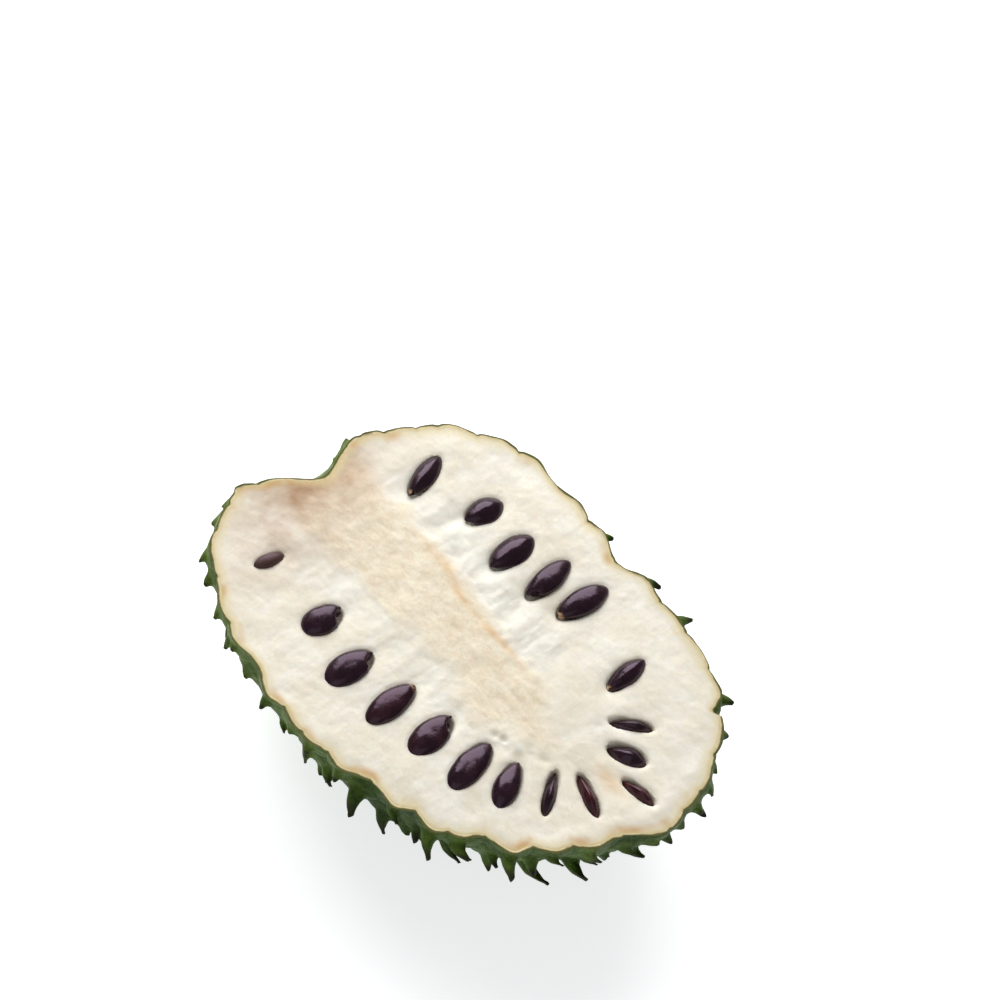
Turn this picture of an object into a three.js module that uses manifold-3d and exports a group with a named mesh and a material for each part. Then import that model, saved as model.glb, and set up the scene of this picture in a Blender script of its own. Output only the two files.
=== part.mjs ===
// Half of a ripe soursop, cut lengthwise and lying on its back with the cut face up.
// The whole fruit is shaped first and then cut, as the real one was: a spiny skin around white pulp,
// with the seeds that the knife laid bare in sockets of their own.
// Millimetres, +Z up. +X runs from the stem end to the tip, +Y across the fruit.
// The origin is the middle of the flat spot that the half rests on.
import * as THREE from 'three';
import { mergeVertices } from 'three/addons/utils/BufferGeometryUtils.js';
import Module from 'manifold-3d';

// ---- Driving dimensions -------------------------------------------------------------------------
// Radius of the cut outline from the fruit's axis, every 20 degrees from +X towards +Y.
const OUTLINE = [78.5, 85, 80, 68, 58, 59.5, 68, 75.5, 77.5, 82, 87, 78, 67, 59.5, 56.8, 57.5, 62.5, 70];
const DEPTH = 60; // from the cut plane to the back of a fruit that nothing presses on
const FULLNESS = 2.15; // 2 is an ellipsoid, and more is squarer in section
const FLAT_DEPTH = 2; // how far the back is pressed flat where it rests
const CUT_HEIGHT = DEPTH - FLAT_DEPTH; // the cut face above the surface it rests on
const STEM_PIT = { depth: 9.5, spread: 8 }; // the hollow where the stem sat: mm and degrees
const SKIN = 1.6; // thickness of the skin
const GAP = 0.35; // clearance between pieces that touch
const MEAN_HALF = { length: 84, width: 60 }; // half sizes of the plain ellipsoid that spaces the spines
const SLAB_WIDTH = 400; // of the blocks that cut the fruit level: any width above the fruit's own

const SPINES = {
  onWholeFruit: 330, // counted over both halves
  goldenAngle: 137.508, // degrees of turn from one spine to the next
  crowding: 1.45, // above 1 sets them closer together at the stem end
  wander: 8, // degrees that a spine may stray around the fruit
  rimReach: 3, // degrees above the cut plane up to which a spine still belongs to the half
  rimClear: 4, // degrees below the cut plane where the highest ones stand
  height: 7.5,
  stemHeight: 3.2, // they are shorter on the stem half
  stemRegion: [-0.25, 0.35], // where they shorten: 0 is the middle of the fruit and 1 is the stem
  shortest: 0.45, // as a share of the usual height
  tallest: 1.45,
  shortOnes: 1.7, // above 1 makes short spines commoner than tall ones
  farSide: 0.65, // how tall those on the +Y side are, as a share of the others
  least: 1, // a spine with less room than this under it is left out
  baseRadius: 3.0,
  sunk: 1.1, // how far the foot of a spine goes into the skin
  bendAt: 0.5, // share of the height where the spine starts to hook
  hook: 0.42, // how far the point leans towards the tip of the fruit, as a share of its height
  clearance: 0.4, // what a spine beside the flat spot leaves above the surface
};

// Each seed: where its middle is on the cut face, which way its round outer end points (degrees from
// +X), its length, its width across the cut face, its depth, how far its middle lies below the cut
// face, and how far its outer end dips (degrees). A lying seed shows its broad side, one on edge is narrow.
const LYING = { depth: 6.4, below: 0.7, point: 0.58 };
const ON_EDGE = { depth: 8.6, below: 2.9, point: 0.95 };
const SEEDS = [
  { x: -60, y: -31, turn: -104, length: 11, width: 4.6, dip: -4, ...LYING, depth: 4.4, below: 0.9 },
  { x: -34, y: -30.5, turn: -98, length: 15, width: 9.6, dip: 4, ...LYING },
  { x: -16.5, y: -34, turn: -97, length: 18, width: 10.2, dip: 5, ...LYING },
  { x: 0.5, y: -31.5, turn: -90, length: 19.5, width: 9.2, dip: 3, ...LYING },
  { x: 16, y: -28.5, turn: -87, length: 18.3, width: 10, dip: 5, ...LYING },
  { x: 31, y: -25.5, turn: -81, length: 19.8, width: 9.4, dip: 2, ...LYING },
  { x: 42.7, y: -20.5, turn: -65, length: 17, width: 8.2, dip: 3, ...LYING },
  { x: 52.5, y: -11.7, turn: -55, length: 17, width: 5.2, dip: 0, ...ON_EDGE },
  { x: 60.4, y: -3, turn: -18, length: 16.8, width: 5.6, dip: 2, ...ON_EDGE },
  { x: 69.2, y: 9.8, turn: 10, length: 14.2, width: 5.2, dip: 2, ...ON_EDGE },
  { x: 58, y: 15, turn: 27, length: 15, width: 7.6, dip: 0, ...ON_EDGE },
  { x: 51.4, y: 22.5, turn: 41, length: 15.8, width: 5, dip: 0, ...ON_EDGE },
  { x: 38, y: 32, turn: 90, length: 16, width: 6.8, dip: -5, ...LYING },
  { x: 11, y: 37.5, turn: 82, length: 20, width: 8.8, dip: 0, ...LYING },
  { x: -1.5, y: 34, turn: 93, length: 20, width: 8.2, dip: 0, ...LYING },
  { x: -15.7, y: 31.3, turn: 88, length: 18, width: 9.8, dip: 3, ...LYING },
  { x: -32, y: 33.5, turn: 80, length: 14.5, width: 9.2, dip: 4, ...LYING },
  { x: -53, y: 26.5, turn: 106, length: 18, width: 7.4, dip: 4, ...LYING },
];
const SEED_EGG = 1.2; // 1 is the same at both ends, and more moves the broadest place outwards
const SEED_FACETS = { around: 8, along: 6 };
const BODY_FACETS = { around: 60, down: 24 };
const CAVITY_FACETS = { around: 40, down: 18 };

const wasm = await Module();
wasm.setup();

// ---- Solids: cut and joined with manifold-3d ------------------------------------------------------
function toSolid(geometry) {
  const bare = geometry.clone();
  bare.deleteAttribute('normal');
  bare.deleteAttribute('uv');
  const merged = mergeVertices(bare, 1e-4);
  return new wasm.Manifold(new wasm.Mesh({
    numProp: 3,
    vertProperties: merged.attributes.position.array,
    triVerts: new Uint32Array(merged.index.array),
  }));
}

function toGeometry(solid) {
  const mesh = solid.getMesh();
  return new THREE.BufferGeometry()
    .setAttribute('position', new THREE.BufferAttribute(mesh.vertProperties, 3))
    .setIndex(new THREE.BufferAttribute(mesh.triVerts, 1))
    .toNonIndexed();
}

// A block that is wider than the fruit and fills the space from one height to another.
function slab(fromHeight, toHeight) {
  return toSolid(new THREE.BoxGeometry(SLAB_WIDTH, SLAB_WIDTH, toHeight - fromHeight)
    .translate(0, 0, (fromHeight + toHeight) / 2));
}

const aboveCut = slab(CUT_HEIGHT, CUT_HEIGHT + 2 * DEPTH);

// ---- The fruit's form -----------------------------------------------------------------------------
// The cut outline's radius at an angle: a Catmull-Rom curve through OUTLINE, closed on itself.
function outlineRadius(angle) {
  const count = OUTLINE.length;
  const place = ((angle / (2 * Math.PI)) * count + count) % count;
  const i = Math.floor(place);
  const t = place - i;
  const [a, b, c, d] = [-1, 0, 1, 2].map((step) => OUTLINE[(i + step + count) % count]);
  return b + 0.5 * t * (c - a + t * (2 * a - 5 * b + 4 * c - d + t * (3 * (b - c) + d - a)));
}

// How far the skin is from the fruit's middle in a given direction. The section through the axis is
// a superellipse of the outline's radius and DEPTH, with a pit around the -X end for the stem.
function fruitRadius(direction) {
  const { x, y, z } = direction;
  const level = Math.hypot(x, y);
  const rim = outlineRadius(Math.atan2(y, x));
  const body = ((level / rim) ** FULLNESS + (Math.abs(z) / DEPTH) ** FULLNESS) ** (-1 / FULLNESS);
  const fromStem = THREE.MathUtils.radToDeg(Math.acos(THREE.MathUtils.clamp(-x, -1, 1)));
  return body - STEM_PIT.depth * Math.exp(-((fromStem / STEM_PIT.spread) ** 2));
}

// The whole fruit's surface, moved inwards by inset: a sphere with each point pushed out to the skin.
function fruitBody(inset, facets) {
  const sphere = new THREE.SphereGeometry(1, facets.around, facets.down).rotateX(Math.PI / 2);
  const points = sphere.attributes.position;
  const point = new THREE.Vector3();
  for (let i = 0; i < points.count; i++) {
    point.fromBufferAttribute(points, i).normalize();
    point.multiplyScalar(fruitRadius(point) - inset);
    points.setXYZ(i, point.x, point.y, point.z + CUT_HEIGHT);
  }
  return toSolid(sphere);
}

// ---- Spines ---------------------------------------------------------------------------------------
// A number from 0 to 1 that looks random and is the same each time.
function scatter(index, salt) {
  const value = Math.sin(index * 12.9898 + salt * 78.233) * 43758.5453;
  return value - Math.floor(value);
}

function skinPoint(direction) {
  return direction.clone().multiplyScalar(fruitRadius(direction)).add(new THREE.Vector3(0, 0, CUT_HEIGHT));
}

// The outward normal where a direction meets the skin, from two short steps along the surface.
function skinNormal(direction) {
  const step = 0.02;
  const side = new THREE.Vector3(-direction.z, direction.x, direction.y).cross(direction).normalize();
  const down = direction.clone().cross(side);
  const here = skinPoint(direction);
  const [alongSide, alongDown] = [side, down].map((way) =>
    skinPoint(direction.clone().addScaledVector(way, step).normalize()).sub(here));
  const normal = alongSide.cross(alongDown).normalize();
  return normal.dot(direction) < 0 ? normal.negate() : normal;
}

// Where the spines grow: a golden-angle spiral about the fruit's long axis, as its flower set them.
function spineDirections() {
  const highest = Math.sin(THREE.MathUtils.degToRad(SPINES.rimReach));
  const belowRim = -Math.sin(THREE.MathUtils.degToRad(SPINES.rimClear));
  const found = [];
  for (let k = 0; k < SPINES.onWholeFruit; k++) {
    const share = (k + 0.5) / SPINES.onWholeFruit;
    const along = 2 * share ** SPINES.crowding - 1;
    const stray = SPINES.wander * (scatter(k, 1) - 0.5);
    const around = THREE.MathUtils.degToRad(SPINES.goldenAngle * k + stray);
    const radius = MEAN_HALF.width * Math.sqrt(1 - along * along);
    const direction = new THREE.Vector3(
      MEAN_HALF.length * along, radius * Math.cos(around), -radius * Math.sin(around)).normalize();
    if (direction.z > highest) continue;
    direction.z = Math.min(direction.z, belowRim);
    found.push({ direction: direction.normalize(), along, index: k });
  }
  return found;
}

// One spine: a four-sided cone on the skin whose upper half hooks towards the tip of the fruit.
function spine({ direction, along, index }) {
  const foot = skinPoint(direction);
  const normal = skinNormal(direction);
  const stemwards = THREE.MathUtils.smoothstep(-along, ...SPINES.stemRegion);
  let height = THREE.MathUtils.lerp(SPINES.height, SPINES.stemHeight, stemwards);
  height *= THREE.MathUtils.lerp(SPINES.shortest, SPINES.tallest, scatter(index, 2) ** SPINES.shortOnes);
  height *= THREE.MathUtils.lerp(1, SPINES.farSide, THREE.MathUtils.smoothstep(direction.y, -0.2, 0.5));
  if (normal.z < 0) height = Math.min(height, (foot.z - SPINES.clearance) / -normal.z);
  if (height < SPINES.least) return null;
  const lean = new THREE.Vector3(1, 0, 0).addScaledVector(normal, -normal.x);
  const cone = new THREE.ConeGeometry(SPINES.baseRadius, height + SPINES.sunk, 4, 2);
  cone.translate(0, (height - SPINES.sunk) / 2, 0);
  cone.applyQuaternion(new THREE.Quaternion().setFromUnitVectors(new THREE.Vector3(0, 1, 0), normal));
  const points = cone.attributes.position;
  const point = new THREE.Vector3();
  for (let i = 0; i < points.count; i++) {
    point.fromBufferAttribute(points, i);
    const up = point.dot(normal) / height;
    const bend = Math.max(0, (up - SPINES.bendAt) / (1 - SPINES.bendAt));
    point.addScaledVector(lean, SPINES.hook * height * bend).add(foot);
    points.setXYZ(i, point.x, point.y, point.z);
  }
  return toSolid(cone);
}

// ---- Seeds ----------------------------------------------------------------------------------------
// A seed's outline turned about its length and flattened. The outer end is the broad, round one, and
// grow makes it that much bigger on every side, for the socket it sits in.
function seedGeometry(seed, grow = 0) {
  const { around, along } = SEED_FACETS;
  const profile = [];
  for (let i = 0; i <= along; i++) {
    const share = i / along;
    const radius = i % along === 0 ? 0 : Math.sin(Math.PI * share ** SEED_EGG) ** seed.point;
    profile.push(new THREE.Vector2(radius, share - 0.5));
  }
  return new THREE.LatheGeometry(profile, around)
    .rotateZ(-Math.PI / 2)
    .scale(seed.length + 2 * grow, seed.width / 2 + grow, seed.depth / 2 + grow);
}

function seedMesh(seed, name) {
  const mesh = new THREE.Mesh(seedGeometry(seed), seedCoat);
  mesh.name = name;
  mesh.rotation.y = THREE.MathUtils.degToRad(seed.dip);
  const holder = new THREE.Group();
  holder.position.set(seed.x, seed.y, CUT_HEIGHT - seed.below);
  holder.rotation.z = THREE.MathUtils.degToRad(seed.turn);
  holder.add(mesh);
  return holder;
}

// ---- Materials ------------------------------------------------------------------------------------
const skinGreen = new THREE.MeshStandardMaterial({ color: 0x4f7a2c, roughness: 0.6, metalness: 0 });
const pulpCream = new THREE.MeshStandardMaterial({ color: 0xf1ead6, roughness: 0.5, metalness: 0 });
const seedCoat = new THREE.MeshStandardMaterial({ color: 0x241a1c, roughness: 0.2, metalness: 0 });

// ---- The pieces -----------------------------------------------------------------------------------
const soursopHalf = new THREE.Group();

const seedHolders = SEEDS.map((seed, i) => seedMesh(seed, `seed_${String(i + 1).padStart(2, '0')}`));
seedHolders.forEach((holder) => soursopHalf.add(holder));
soursopHalf.updateMatrixWorld(true);

// The skin, hollow for the pulp: body and spines joined, cut level at the top and pressed flat below.
const cavity = fruitBody(SKIN, CAVITY_FACETS).subtract(slab(-DEPTH, SKIN));
const spines = spineDirections().map(spine).filter(Boolean);
const spinyBody = spines.reduce((body, one) => body.add(one), fruitBody(0, BODY_FACETS));
const skinSolid = spinyBody.subtract(aboveCut).subtract(slab(-DEPTH, 0)).subtract(cavity);
const skin = new THREE.Mesh(toGeometry(skinSolid), skinGreen);
skin.name = 'skin';
soursopHalf.add(skin);

// The pulp fills the skin, with a socket for each seed.
const sockets = seedHolders.map((holder, i) =>
  toSolid(seedGeometry(SEEDS[i], GAP).applyMatrix4(holder.children[0].matrixWorld)));
const pulpBlank = fruitBody(SKIN + GAP, CAVITY_FACETS).subtract(aboveCut).subtract(slab(-DEPTH, SKIN + GAP));
const pulpSolid = sockets.reduce((body, socket) => body.subtract(socket), pulpBlank);
const pulp = new THREE.Mesh(toGeometry(pulpSolid), pulpCream);
pulp.name = 'pulp';
soursopHalf.add(pulp);

export default soursopHalf;
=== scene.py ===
# %% [markdown]
# # Half a soursop, cut lengthwise
#
# A soursop is a fruit as long as a hand and a half. Its leathery green skin is covered in soft
# hooked spines, and its cream-white pulp holds glossy near-black seeds. This one has been cut from
# stem to tip and lies on its back with the cut face up.
#
# The CAD model gives every size and place: a spiny skin, the pulp in it, and eighteen seeds. This
# notebook keeps those and grows the fine surface over them. All shapes are worked out with numpy in
# millimetres, as whole arrays, and put into Blender meshes in metres.

# %% Load the frame
import math

import bpy
import numpy as np
from mathutils import Matrix, Vector


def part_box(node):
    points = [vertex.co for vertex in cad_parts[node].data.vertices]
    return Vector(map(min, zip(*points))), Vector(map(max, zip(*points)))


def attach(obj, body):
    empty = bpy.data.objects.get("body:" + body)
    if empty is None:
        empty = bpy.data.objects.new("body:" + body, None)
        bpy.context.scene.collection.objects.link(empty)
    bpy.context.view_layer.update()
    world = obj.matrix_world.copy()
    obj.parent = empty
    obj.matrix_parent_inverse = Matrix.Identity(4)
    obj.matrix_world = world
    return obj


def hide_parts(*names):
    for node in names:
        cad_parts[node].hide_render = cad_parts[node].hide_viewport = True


MM = 0.001  # one millimetre in Blender's metres

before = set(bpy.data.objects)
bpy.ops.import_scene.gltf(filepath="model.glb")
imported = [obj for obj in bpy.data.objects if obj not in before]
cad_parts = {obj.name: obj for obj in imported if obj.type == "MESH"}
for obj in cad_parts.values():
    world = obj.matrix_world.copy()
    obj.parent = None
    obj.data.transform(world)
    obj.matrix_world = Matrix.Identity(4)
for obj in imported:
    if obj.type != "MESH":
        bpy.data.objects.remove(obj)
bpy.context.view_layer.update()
seed_names = sorted(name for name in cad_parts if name.startswith("seed_"))
print(len(seed_names), "seeds")

# %% [markdown]
# ## The camera
#
# The fruit is seen from above and a little to one side, through a long lens, which keeps its far end
# from shrinking. The view is also rolled, so that the fruit runs from upper left to lower right.
# A camera looks along its own -Z, so its three axes are written down as the columns of a rotation.

# %% Place the camera
CAMERA_RIGHT = Vector((0.6456, 0.7546, 0.1175))
CAMERA_UP = Vector((-0.7156, 0.5440, 0.4382))
CAMERA_BACK = Vector((0.2670, -0.3670, 0.8911))
CAMERA_PLACE = Vector((0.2040, -0.2842, 0.8455))
LENS = 100  # millimetres, on a sensor of 36

camera_data = bpy.data.cameras.new("camera")
camera_data.lens = LENS
camera_data.sensor_width = 36
camera = bpy.data.objects.new("camera", camera_data)
turn = Matrix((CAMERA_RIGHT, CAMERA_UP, CAMERA_BACK)).transposed()
camera.matrix_world = Matrix.Translation(CAMERA_PLACE) @ turn.to_4x4()
bpy.context.scene.collection.objects.link(camera)
bpy.context.scene.camera = camera
print("camera", round(CAMERA_PLACE.length, 3), "m from the origin")

# %% [markdown]
# ## Helpers: noise, grids and meshes
#
# A fruit has nothing straight on it, so almost every surface needs some smooth randomness. A table of
# random numbers on a lattice, blended between its points, gives that and is the same on each run.

# %% Smooth noise on a lattice
NOISE_TABLE_SIZE = 32
NOISE_LAYERS = 3


def smooth_step(low, high, value):
    """0 below low, 1 above high, and 3t^2 - 2t^3 between them. It falls when high is the lower one."""
    t = np.clip((value - low) / (high - low), 0, 1)
    return t * t * (3 - 2 * t)


def between(value, start, full, fade, end):
    """0 outside start and end, 1 from full to fade, and smooth in between."""
    return smooth_step(start, full, value) * smooth_step(end, fade, value)


def noise(points, cell, seed):
    """Smooth noise from -1 to 1 at points (N, 3), with lumps about one cell across.

    Each lattice point has a random number. Between the eight nearest ones the value is their
    average, weighted along each axis by 3t^2 - 2t^3.
    """
    table = np.random.default_rng(seed).uniform(-1, 1, (NOISE_TABLE_SIZE,) * 3)
    place = points / cell
    corner = np.floor(place).astype(int)
    t = place - corner
    t = t * t * (3 - 2 * t)
    total = np.zeros(len(points))
    for step in np.ndindex(2, 2, 2):
        i, j, k = ((corner + step) % NOISE_TABLE_SIZE).T
        weight = np.prod(np.where(step, t, 1 - t), axis=1)
        total += weight * table[i, j, k]
    return total


def layered_noise(points, cell, seed):
    """Noise with finer and fainter copies added: each layer has half the cell and half the height."""
    return sum(noise(points, cell / 2**n, seed + n) / 2**n for n in range(NOISE_LAYERS))


print("noise test:", noise(np.array([[1.0, 2.0, 3.0]]), 5, 1).round(3))

# %% [markdown]
# Both big surfaces are discs at heart: the cut face is a disc bent to the fruit's outline, and the
# skin is a disc wrapped around its back. A polar grid would crowd its points at the middle. A square
# grid bent into a disc has nearly even cells everywhere, and a rim with plenty of points.

# %% A square grid bent into a disc
GRID = 289  # points along each side of the square, and odd so that one is in the middle


def disc_grid(count):
    """Radius (0 to 1) and angle of each point of a square grid bent into a disc.

    With a and b from -1 to 1 across the square, the radius is the larger of |a| and |b|, and the
    angle runs evenly along each side of the square, a quarter turn to a side.
    """
    side = np.linspace(-1, 1, count)
    a, b = np.meshgrid(side, side, indexing="ij")
    by_a = np.abs(a) >= np.abs(b)
    signed = np.where(by_a, a, b)
    divisor = np.where(signed == 0, 1, signed)
    angle = np.where(by_a, b / divisor, 2 - a / divisor) * math.pi / 4
    angle = np.where(signed < 0, angle + math.pi, angle)
    return np.abs(signed).ravel(), angle.ravel()


def grid_faces(count):
    """The quads of that grid, with their fronts towards +Z."""
    index = np.arange(count * count).reshape(count, count)
    corners = [index[:-1, :-1], index[1:, :-1], index[1:, 1:], index[:-1, 1:]]
    return np.stack([corner.ravel() for corner in corners], axis=1)


def rim_loop(count):
    """The grid's edge points in order, turning from +X towards +Y."""
    index = np.arange(count * count).reshape(count, count)
    sides = [index[-1, :-1], index[:0:-1, -1], index[0, :0:-1], index[:-1, 0]]
    return np.concatenate(sides)


def strip_faces(first, second):
    """Quads between two closed loops of the same length."""
    return np.stack([first, second, np.roll(second, -1), np.roll(first, -1)], axis=1)


disc_radius, disc_angle = disc_grid(GRID)
rim = rim_loop(GRID)
rim_angle = disc_angle[rim]
print(len(disc_radius), "points,", len(rim), "of them on the rim")

# %% Put arrays into a mesh
SHARP_ANGLE = math.radians(55)  # a fold steeper than this is drawn as an edge


def make_piece(name, points_mm, quads, fans=(), **attributes):
    """A smooth-shaded mesh object at the origin. Each fan is (centre point, loop), closed in triangles."""
    faces = quads.tolist()
    for centre, loop in fans:
        faces += np.stack([np.full(len(loop), centre), loop, np.roll(loop, -1)], axis=1).tolist()
    mesh = bpy.data.meshes.new(name)
    mesh.from_pydata((points_mm * MM).tolist(), [], faces)
    for label, values in attributes.items():
        kind = "FLOAT_VECTOR" if values.ndim == 2 else "FLOAT"
        layer = mesh.attributes.new(label, kind, "POINT")
        field = "vector" if values.ndim == 2 else "value"
        layer.data.foreach_set(field, values.astype(np.float32).ravel())
    mesh.shade_smooth()
    mesh.set_sharp_from_angle(angle=SHARP_ANGLE)
    mesh.validate()
    piece = bpy.data.objects.new(name, mesh)
    bpy.context.scene.collection.objects.link(piece)
    print(name, len(faces), "faces")
    return piece


# %% [markdown]
# ## The fruit's form, read off the CAD model
#
# The cut outline is read off the CAD pulp: its rim has a point every few degrees, and the wall of
# skin outside it is as thick as the pulp's height above the floor. A smooth closed curve through
# those points gives the outline at any angle. The section through the fruit is a superellipse, a
# little squarer than an ellipse, and a pit marks where the stem sat.

# %% Measure the outline
FULL_DEPTH = 60  # mm from the cut plane to the back of a fruit that nothing presses on
FULLNESS = 2.15  # 2 is an ellipse, and more is squarer
PIT_DEPTH = 9.5
PIT_SPREAD = 8  # degrees
RIM_POINTS = 40
BULGES = [(5, 7, 3.0), (209, 14, 2.5)]  # corners too narrow for the CAD rim: angle, width and mm
NORMAL_STEP = 0.02


def node_points(name):
    """The corner points of a CAD node in millimetres."""
    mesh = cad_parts[name].data
    flat = np.empty(len(mesh.vertices) * 3, np.float32)
    mesh.vertices.foreach_get("co", flat)
    return flat.reshape(-1, 3).astype(float) / MM


def stem_pit(direction):
    """Depth of the stem's pit in a direction: a bell curve of the angle from -X, in degrees."""
    from_stem = np.degrees(np.arccos(np.clip(-direction[..., 0], -1, 1)))
    return PIT_DEPTH * np.exp(-((from_stem / PIT_SPREAD) ** 2))


def level_direction(angle):
    """Unit vector along the cut plane."""
    return np.stack([np.cos(angle), np.sin(angle), np.zeros_like(angle)], axis=-1)


def outline_from_cad():
    """Radius of the fruit without its pit at RIM_POINTS even angles, off the CAD pulp's rim."""
    points = node_points("pulp")
    top = points[points[:, 2] > CUT_HEIGHT - 0.01]
    reach = np.hypot(top[:, 0], top[:, 1])
    angle = np.arctan2(top[:, 1], top[:, 0])
    wanted = np.arange(RIM_POINTS) * 2 * math.pi / RIM_POINTS
    apart = np.abs(np.exp(1j * angle[None]) - np.exp(1j * wanted[:, None]))
    radius = np.where(apart < 0.01, reach[None], 0).max(axis=1)
    return radius + WALL + stem_pit(level_direction(wanted))


CUT_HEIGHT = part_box("skin")[1].z / MM
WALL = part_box("pulp")[0].z / MM
OUTLINE = outline_from_cad()
print("cut face", round(CUT_HEIGHT, 2), "mm up, wall", round(WALL, 2), "mm")
print("outline from", OUTLINE.min().round(1), "to", OUTLINE.max().round(1), "mm")


def outline_radius(angle):
    """The outline at any angle: a closed Catmull-Rom curve through OUTLINE, with its bulges."""
    place = np.mod(angle / (2 * math.pi) * RIM_POINTS, RIM_POINTS)
    i = np.floor(place).astype(int)
    t = place - i
    a, b, c, d = (OUTLINE[(i + step) % RIM_POINTS] for step in (-1, 0, 1, 2))
    curve = b + 0.5 * t * (c - a + t * (2 * a - 5 * b + 4 * c - d + t * (3 * (b - c) + d - a)))
    for corner, width, height in BULGES:
        apart = np.abs(np.mod(np.degrees(angle) - corner + 180, 360) - 180)
        curve = curve + height * np.exp(-((apart / width) ** 2))
    return curve


def fruit_point(direction):
    """Where a direction from the fruit's middle meets the skin.

    The radius is ((level / outline)^F + (depth / full depth)^F)^(-1/F), less the stem's pit.
    """
    level = np.hypot(direction[:, 0], direction[:, 1])
    rim_there = outline_radius(np.arctan2(direction[:, 1], direction[:, 0]))
    shares = (level / rim_there) ** FULLNESS + (np.abs(direction[:, 2]) / FULL_DEPTH) ** FULLNESS
    radius = shares ** (-1 / FULLNESS) - stem_pit(direction)
    return radius[:, None] * direction + (0, 0, CUT_HEIGHT)


def unit(vectors):
    return vectors / np.linalg.norm(vectors, axis=1)[:, None]


def fruit_normal(direction):
    """Outward normal, from two short steps along the surface."""
    helper = np.stack([-direction[:, 2], direction[:, 0], direction[:, 1]], axis=1)
    side = unit(np.cross(helper, direction))
    down = np.cross(direction, side)
    here = fruit_point(direction)
    across, along = (fruit_point(unit(direction + way * NORMAL_STEP)) - here for way in (side, down))
    normal = unit(np.cross(across, along))
    return np.where(np.sum(normal * direction, axis=1)[:, None] < 0, -normal, normal)


# %% [markdown]
# ## Where the spines stand
#
# Each spine is what is left of one of the many pistils of the flower, and they sit on a golden-angle
# spiral around the fruit's long axis, closer together at the stem. These are the CAD model's own
# places and heights: most are short, a few are long, and the far side's are worn shorter. The highest
# ones stand just below the rim, and their mounds give the cut edge its scallops. Low stubs that the
# CAD model is too coarse to hold fill the gaps between them.

# %% Lay out the spines
SPINES_ON_WHOLE_FRUIT = 330
GOLDEN_ANGLE = 137.508
CROWDING = 1.45  # above 1 sets them closer together at the stem end
WANDER = 8  # degrees that a spine may stray around the fruit
RIM_REACH = math.sin(math.radians(3))  # feet up to this far above the plane are still the half's
BELOW_RIM = math.sin(math.radians(4))  # and they stand this far below it
MEAN_HALF_LENGTH = 84
MEAN_HALF_WIDTH = 60
SPINE_HEIGHT = 7.5
STEM_SPINE_HEIGHT = 3.2
SHORTEST, TALLEST = 0.45, 1.45  # as shares of the usual height
SHORT_ONES = 1.7  # above 1 makes short spines commoner than tall ones
FAR_SIDE = 0.65  # how tall those on the +Y side are, as a share of the others
FLOOR_CLEARANCE = 0.4
LEAST_SPINE = 1
STUB_TRIES = 1400  # steps of the finer spiral that the stubs stand on
STUB_SPACING = 7.5  # mm that a stub keeps from every other foot
STUB_SHARE = 0.55  # a stub's height as a share of a spine's
STUB_LEAST = 1.6
STEMWARD = (-0.25, 0.35)  # where the spines turn short, as shares of half the length towards the stem


def scatter(index, salt):
    """A number from 0 to 1 that looks random: the fraction of a large sine."""
    value = np.sin(index * 12.9898 + salt * 78.233) * 43758.5453
    return value - np.floor(value)


def spine_heights(k, along, direction):
    """Height of each spine by its number, its place along the fruit and its direction."""
    stemward = smooth_step(*STEMWARD, -along)
    height = SPINE_HEIGHT + (STEM_SPINE_HEIGHT - SPINE_HEIGHT) * stemward
    height *= SHORTEST + (TALLEST - SHORTEST) * scatter(k, 2) ** SHORT_ONES
    return height * (1 + (FAR_SIDE - 1) * smooth_step(-0.2, 0.5, direction[:, 1]))


def spiral(count):
    """Number, place along the fruit and direction of each step of a spiral, over the half only."""
    k = np.arange(count)
    share = (k + 0.5) / count
    along = 2 * share**CROWDING - 1
    around = np.radians(GOLDEN_ANGLE * k + WANDER * (scatter(k, 1) - 0.5))
    radius = MEAN_HALF_WIDTH * np.sqrt(1 - along**2)
    direction = unit(np.stack(
        [MEAN_HALF_LENGTH * along, radius * np.cos(around), -radius * np.sin(around)], axis=1))
    kept = direction[:, 2] < RIM_REACH
    k, along, direction = k[kept], along[kept], direction[kept]
    direction[:, 2] = np.minimum(direction[:, 2], -BELOW_RIM)
    return k, along, unit(direction)


def grow(k, along, direction, share=1.0, least=0.0):
    """Foot, normal, lean, height and number of the spines that stand in these directions."""
    foot = fruit_point(direction)
    normal = fruit_normal(direction)
    room = (foot[:, 2] - FLOOR_CLEARANCE) / np.maximum(-normal[:, 2], 1e-6)
    height = np.minimum(np.maximum(spine_heights(k, along, direction) * share, least), room)
    grown = height > LEAST_SPINE
    lean = unit(np.array([1, 0, 0]) - normal * normal[:, :1])
    found = dict(foot=foot, normal=normal, lean=lean, height=height, index=k)
    return {label: values[grown] for label, values in found.items()}


def fill_gaps(tall):
    """Adds stubs between the tall spines: steps of a finer spiral that are clear of every foot."""
    stubs = grow(*spiral(STUB_TRIES), STUB_SHARE, STUB_LEAST)
    feet = list(tall["foot"])
    kept = []
    for index, foot in enumerate(stubs["foot"]):
        if np.linalg.norm(np.array(feet) - foot, axis=1).min() > STUB_SPACING:
            feet.append(foot)
            kept.append(index)
    return {label: np.concatenate([tall[label], stubs[label][kept]]) for label in tall}


tall_spines = grow(*spiral(SPINES_ON_WHOLE_FRUIT))
spines = fill_gaps(tall_spines)
print(len(tall_spines["foot"]), "spines, up to", spines["height"].max().round(1), "mm tall")
print(len(spines["foot"]) - len(tall_spines["foot"]), "stubs between them")

# %% [markdown]
# ## How the skin swells around them
#
# The skin rises in a soft mound under each spine, longer along the fruit than across it, and shallow
# creases run between the mounds. Both come from how far a point is from the nearest two spines.

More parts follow.
